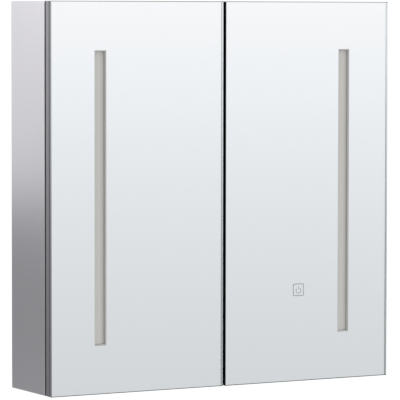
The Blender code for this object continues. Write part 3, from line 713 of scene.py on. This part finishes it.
def hinge_screws(side):
    for height in HEIGHTS:
        cup_low, cup_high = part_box(f"hinge_cup_{side.name}_{height}")
        z = (cup_low.z + cup_high.z) / 2
        cup_x = side.at(CUP_U, 0, 0).x
        ears = [((cup_x, cup_high.y - CUP_SCREW_SINK, z + end * CUP_EAR_REACH), (0, 1, 0))
                for end in (-1, 1)]
        add_screws(f"cup_screws_{side.name}_{height}", side.door, 3.4 * MM, 1.2 * MM, ears)
        wings = [(side.at(PLATE_FACE_U, PLATE_V, z + end * PLATE_WING_REACH), side.inward)
                 for end in (-1, 1)]
        add_screws(f"plate_screws_{side.name}_{height}", "case", 3.8 * MM, 1.3 * MM, wings)
        adjusters = [(side.at(ARM_FACE_U, v, z), side.inward) for v in ARM_SCREW_V]
        add_screws(f"arm_screws_{side.name}_{height}", "case", 2.9 * MM, 1.0 * MM, adjusters, ZINC)


CAP_PROFILE_MM = ((0, 0.9), (5.2, 0.9), (5.9, 0.6), (6.2, 0.1), (6.2, 0), (0, 0))
CAP_X = 262 * MM
CAP_Y = (-92 * MM, -22 * MM)


def corner_caps():
    """Plastic caps over the panel fittings, inside the case near its corners."""
    notch = box_form((-2.4 * MM, -0.4 * MM, 0.5 * MM), (2.4 * MM, 0.4 * MM, 2 * MM))
    cap = without(turned_form([(r * MM, h * MM) for r, h in CAP_PROFILE_MM], 32), (notch,))
    top_z, bottom_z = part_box("top_panel")[0].z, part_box("bottom_panel")[1].z
    places = [((sign * CAP_X, y, z), (0, 0, up))
              for z, up in ((top_z, -1), (bottom_z, 1)) for sign in (-1, 1) for y in CAP_Y]
    piece("fitting_caps", copies(cap, places), "case", (PLASTIC,), 35)


# Wiring and electrics

def tube_form(path, radius, sides=14):
    """A round tube along a list of points, closed at both ends."""
    form = bmesh.new()
    rings = []
    reference = Vector((1, 0, 0))
    for i, point in enumerate(path):
        ahead = (path[min(i + 1, len(path) - 1)] - path[max(i - 1, 0)]).normalized()
        side_way = (reference - ahead * reference.dot(ahead)).normalized()
        up_way = ahead.cross(side_way)
        angles = [2 * math.pi * k / sides for k in range(sides)]
        rings.append([form.verts.new(point + (side_way * math.cos(a) + up_way * math.sin(a)) * radius)
                      for a in angles])
    for a, b in zip(rings, rings[1:]):
        for i in range(sides):
            j = (i + 1) % sides
            form.faces.new((a[i], a[j], b[j], b[i]))
    form.faces.new(rings[0])
    form.faces.new(rings[-1])
    bmesh.ops.recalc_face_normals(form, faces=form.faces)
    return form


LEAD_R = 1.5 * MM
LEAD_X = 280.5 * MM
LEAD_Z = 278.5 * MM
LEAD_BACK_Y = -30 * MM
LEAD_END_Y = -108 * MM
LOOP_TURN_R = 5.9 * MM
LOOP_DROP = 5 * MM
LOOP_RISE = 6 * MM
LOOP_TUCK = 0.8 * MM
LOOP_STEPS = 16
CAP_HALF_W = 4.2 * MM
CAP_BELOW = 2.5 * MM
CAP_ABOVE = 12 * MM
CAP_THICK = 3.9 * MM
CAP_SEAT = 0.02 * MM


def hinge_loop(side):
    """The slack loop that takes the lead from the case to the door, and the cap where it goes in."""
    lead_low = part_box(f"led_lead_{side.name}")[0]
    start = Vector((side.sign * LEAD_X, LEAD_END_Y, lead_low.z))
    turn = start + Vector((0, -LOOP_TURN_R, -LOOP_DROP))
    path = [start + Vector((0, 0, LOOP_TUCK)), start]
    for i in range(LOOP_STEPS + 1):
        angle = math.pi * i / LOOP_STEPS
        path.append(turn + Vector((0, math.cos(angle), -math.sin(angle))) * LOOP_TURN_R)
    end = turn + Vector((0, -LOOP_TURN_R, LOOP_RISE))
    path.append(end)
    loop = piece(f"lead_loop_{side.name}", tube_form(path, LEAD_R), None, (SHEATH,), 60)
    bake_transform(loop)
    door_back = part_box(f"door_board_{side.name}")[1].y
    cap = box_form((end.x - CAP_HALF_W, door_back + CAP_SEAT, end.z - CAP_BELOW),
                   (end.x + CAP_HALF_W, door_back + CAP_THICK, end.z + CAP_ABOVE), 1.2 * MM, 3)
    piece(f"lead_cap_{side.name}", cap, side.door, (PLASTIC,), 40)


CLIP_WALL = 0.9 * MM
CLIP_FIT = 0.15 * MM
CLIP_LIFT = 0.1 * MM
CLIP_FOOT = 4.2 * MM
CLIP_FOOT_T = 1.8 * MM
CLIP_W = 4.4 * MM
CLIP_PLACES_X = (170 * MM, 250 * MM)
CLIP_PLACES_Y = (-48 * MM, -88 * MM)
LEAD_TO_SIDE = 4.5 * MM


def clip_form():
    """A cable clip on the plane y = 0: an arch over the lead, with a foot beside it."""
    reach = LEAD_R + CLIP_FIT
    outside = reach + CLIP_WALL
    rise = LEAD_R + CLIP_LIFT
    arch = [(x, y + rise) for x, y in arc(outside, 180, 0, 12)]
    under = [(x, y + rise) for x, y in arc(reach, 0, 180, 12)]
    foot_end = outside + CLIP_FOOT
    foot = [(outside, CLIP_FOOT_T), (foot_end, CLIP_FOOT_T), (foot_end, 0), (reach, 0)]
    form = outline_form([(-outside, 0)] + arch + foot + under + [(-reach, 0)], CLIP_W)
    bmesh.ops.translate(form, vec=(0, 0, -CLIP_W / 2), verts=form.verts)
    return form


def lead_clips():
    """Clips along both leads, under the top panel and beside the side panels."""
    top_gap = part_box("top_panel")[0].z - LEAD_Z
    back, down = Vector((0, 1, 0)), Vector((0, 0, -1))
    for side in map(Side, SIDES):
        inward = Vector(side.inward)
        form = bmesh.new()
        scratch = bpy.data.meshes.new("scratch")
        under_top = [(Vector((side.sign * x, LEAD_BACK_Y, LEAD_Z)), back, down, top_gap)
                     for x in CLIP_PLACES_X]
        by_side = [(Vector((side.sign * LEAD_X, y, LEAD_Z)), down, inward, LEAD_TO_SIDE)
                   for y in CLIP_PLACES_Y]
        for centre, across, off, gap in under_top + by_side:
            one = clip_form()
            turn = Matrix((across, off, across.cross(off))).transposed().to_4x4()
            one.transform(Matrix.Translation(centre - off * gap) @ turn)
            one.to_mesh(scratch)
            one.free()
            form.from_mesh(scratch)
        bpy.data.meshes.remove(scratch)
        piece(f"lead_clips_{side.name}", form, "case", (PLASTIC,), 35)


HOUSING_WALL = 1.5 * MM
VENT_COUNT = 14
VENT_START_X = 64 * MM
VENT_PITCH = 4.2 * MM
VENT_HALF_W = 0.8 * MM
FRONT_VENT_Z = (10 * MM, 26 * MM)
UNDER_VENT_Y = (14 * MM, 38 * MM)
LEAD_NOTCH_Y = (-32.2 * MM, -27.8 * MM)
LEAD_NOTCH_Z = 276.2 * MM
HOUSING_SCREW_X = (22 * MM, 140 * MM)


def electrics_housing():
    """The cover under the top panel, with its vent slots, lead notches and fixing screws."""
    low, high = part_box("electrics_cover")
    wall = HOUSING_WALL
    shell = box_form(low, high, 1.4 * MM, 3)
    cutters = [box_form((low.x + wall, low.y + wall, low.z + wall),
                        (high.x - wall, high.y + wall, high.z + wall))]
    for sign in (-1, 1):
        for i in range(VENT_COUNT):
            x = sign * (VENT_START_X + i * VENT_PITCH)
            left, right = x - VENT_HALF_W, x + VENT_HALF_W
            cutters.append(box_form((left, low.y - wall, low.z + FRONT_VENT_Z[0]),
                                    (right, low.y + 2 * wall, low.z + FRONT_VENT_Z[1])))
            cutters.append(box_form((left, low.y + UNDER_VENT_Y[0], low.z - wall),
                                    (right, low.y + UNDER_VENT_Y[1], low.z + 2 * wall)))
        cutters.append(box_form((sign * high.x - 3 * wall, LEAD_NOTCH_Y[0], LEAD_NOTCH_Z),
                                (sign * high.x + 3 * wall, LEAD_NOTCH_Y[1], high.z + wall)))
    housing = piece("electrics_housing", without(shell, cutters), "case", (PLASTIC,), 35)
    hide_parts("electrics_cover")
    middle_z = (low.z + high.z) / 2
    places = [((sign * x, low.y + 0.02 * MM, middle_z), (0, -1, 0))
              for sign in (-1, 1) for x in HOUSING_SCREW_X]
    add_screws("housing_screws", "case", 2.8 * MM, 1.1 * MM, places, ZINC)


def main():
    bpy.context.scene.view_settings.view_transform = "Standard"
    add_camera()
    add_world()
    add_lights()
    add_floor()
    paint_nodes()
    for side in map(Side, SIDES):
        mirror_glass(side)
        meeting_seal_and_gap_shade(side)
        led_chips(side)
        hinge_screws(side)
        hinge_loop(side)
    touch_mark()
    corner_caps()
    lead_clips()
    electrics_housing()


main()
